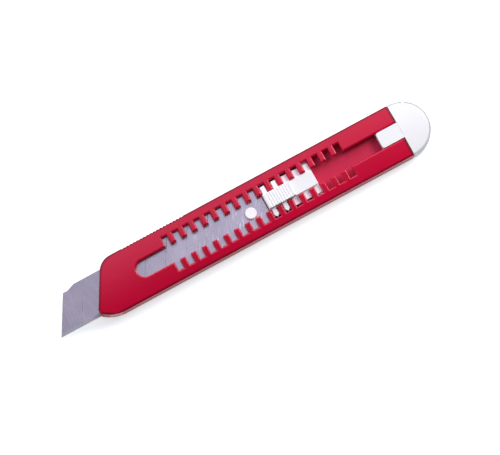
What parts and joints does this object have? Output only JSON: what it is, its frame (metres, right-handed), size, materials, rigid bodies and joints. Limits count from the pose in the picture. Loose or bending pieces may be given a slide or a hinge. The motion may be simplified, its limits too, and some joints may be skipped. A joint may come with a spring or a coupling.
{
  "type": "utility knife",
  "caption": "Snap-off utility knife: flat handle with a toothed slot, scored blade on a sliding carrier with a sprung thumb lock, and a rounded end cap.",
  "frame": {"origin": "middle of the knife's outline, blade part way out, on the surface that its back lies on", "axes": "+X from the blade towards the end cap, +Y away from the cutting edge, +Z out of the slotted face"},
  "size_m": [0.1824, 0.0244, 0.0092],
  "materials": {
    "handle_plastic": "glossy crimson moulded plastic",
    "blade_steel": "rolled blade steel, finely ground, slightly bluish",
    "slide_plastic": "white moulded plastic",
    "cap_plastic": "white moulded plastic"
  },
  "bodies": {
    "handle": {"handle_body": "handle_plastic"},
    "slide": {"slide_carrier": "slide_plastic", "blade": "blade_steel"},
    "tongue": {"lock_tongue": "slide_plastic"},
    "cap": {"end_cap": "cap_plastic"}
  },
  "joints": [
    {"name": "blade_slide", "type": "slide", "parent": "handle", "child": "slide", "axis": [1, 0, 0], "range_m": [-0.0468, 0.0312], "deforming": ["lock_tongue"]},
    {"name": "tongue_press", "type": "hinge", "parent": "slide", "child": "tongue", "pos_m": [0.03463, 0, 0.00515], "axis": [0, -1, 0], "range_deg": [0, 4], "stiffness_Nm_per_rad": 1.2},
    {"name": "cap_pull", "type": "slide", "parent": "handle", "child": "cap", "axis": [1, 0, 0], "range_m": [0, 0.02]}
  ]
}
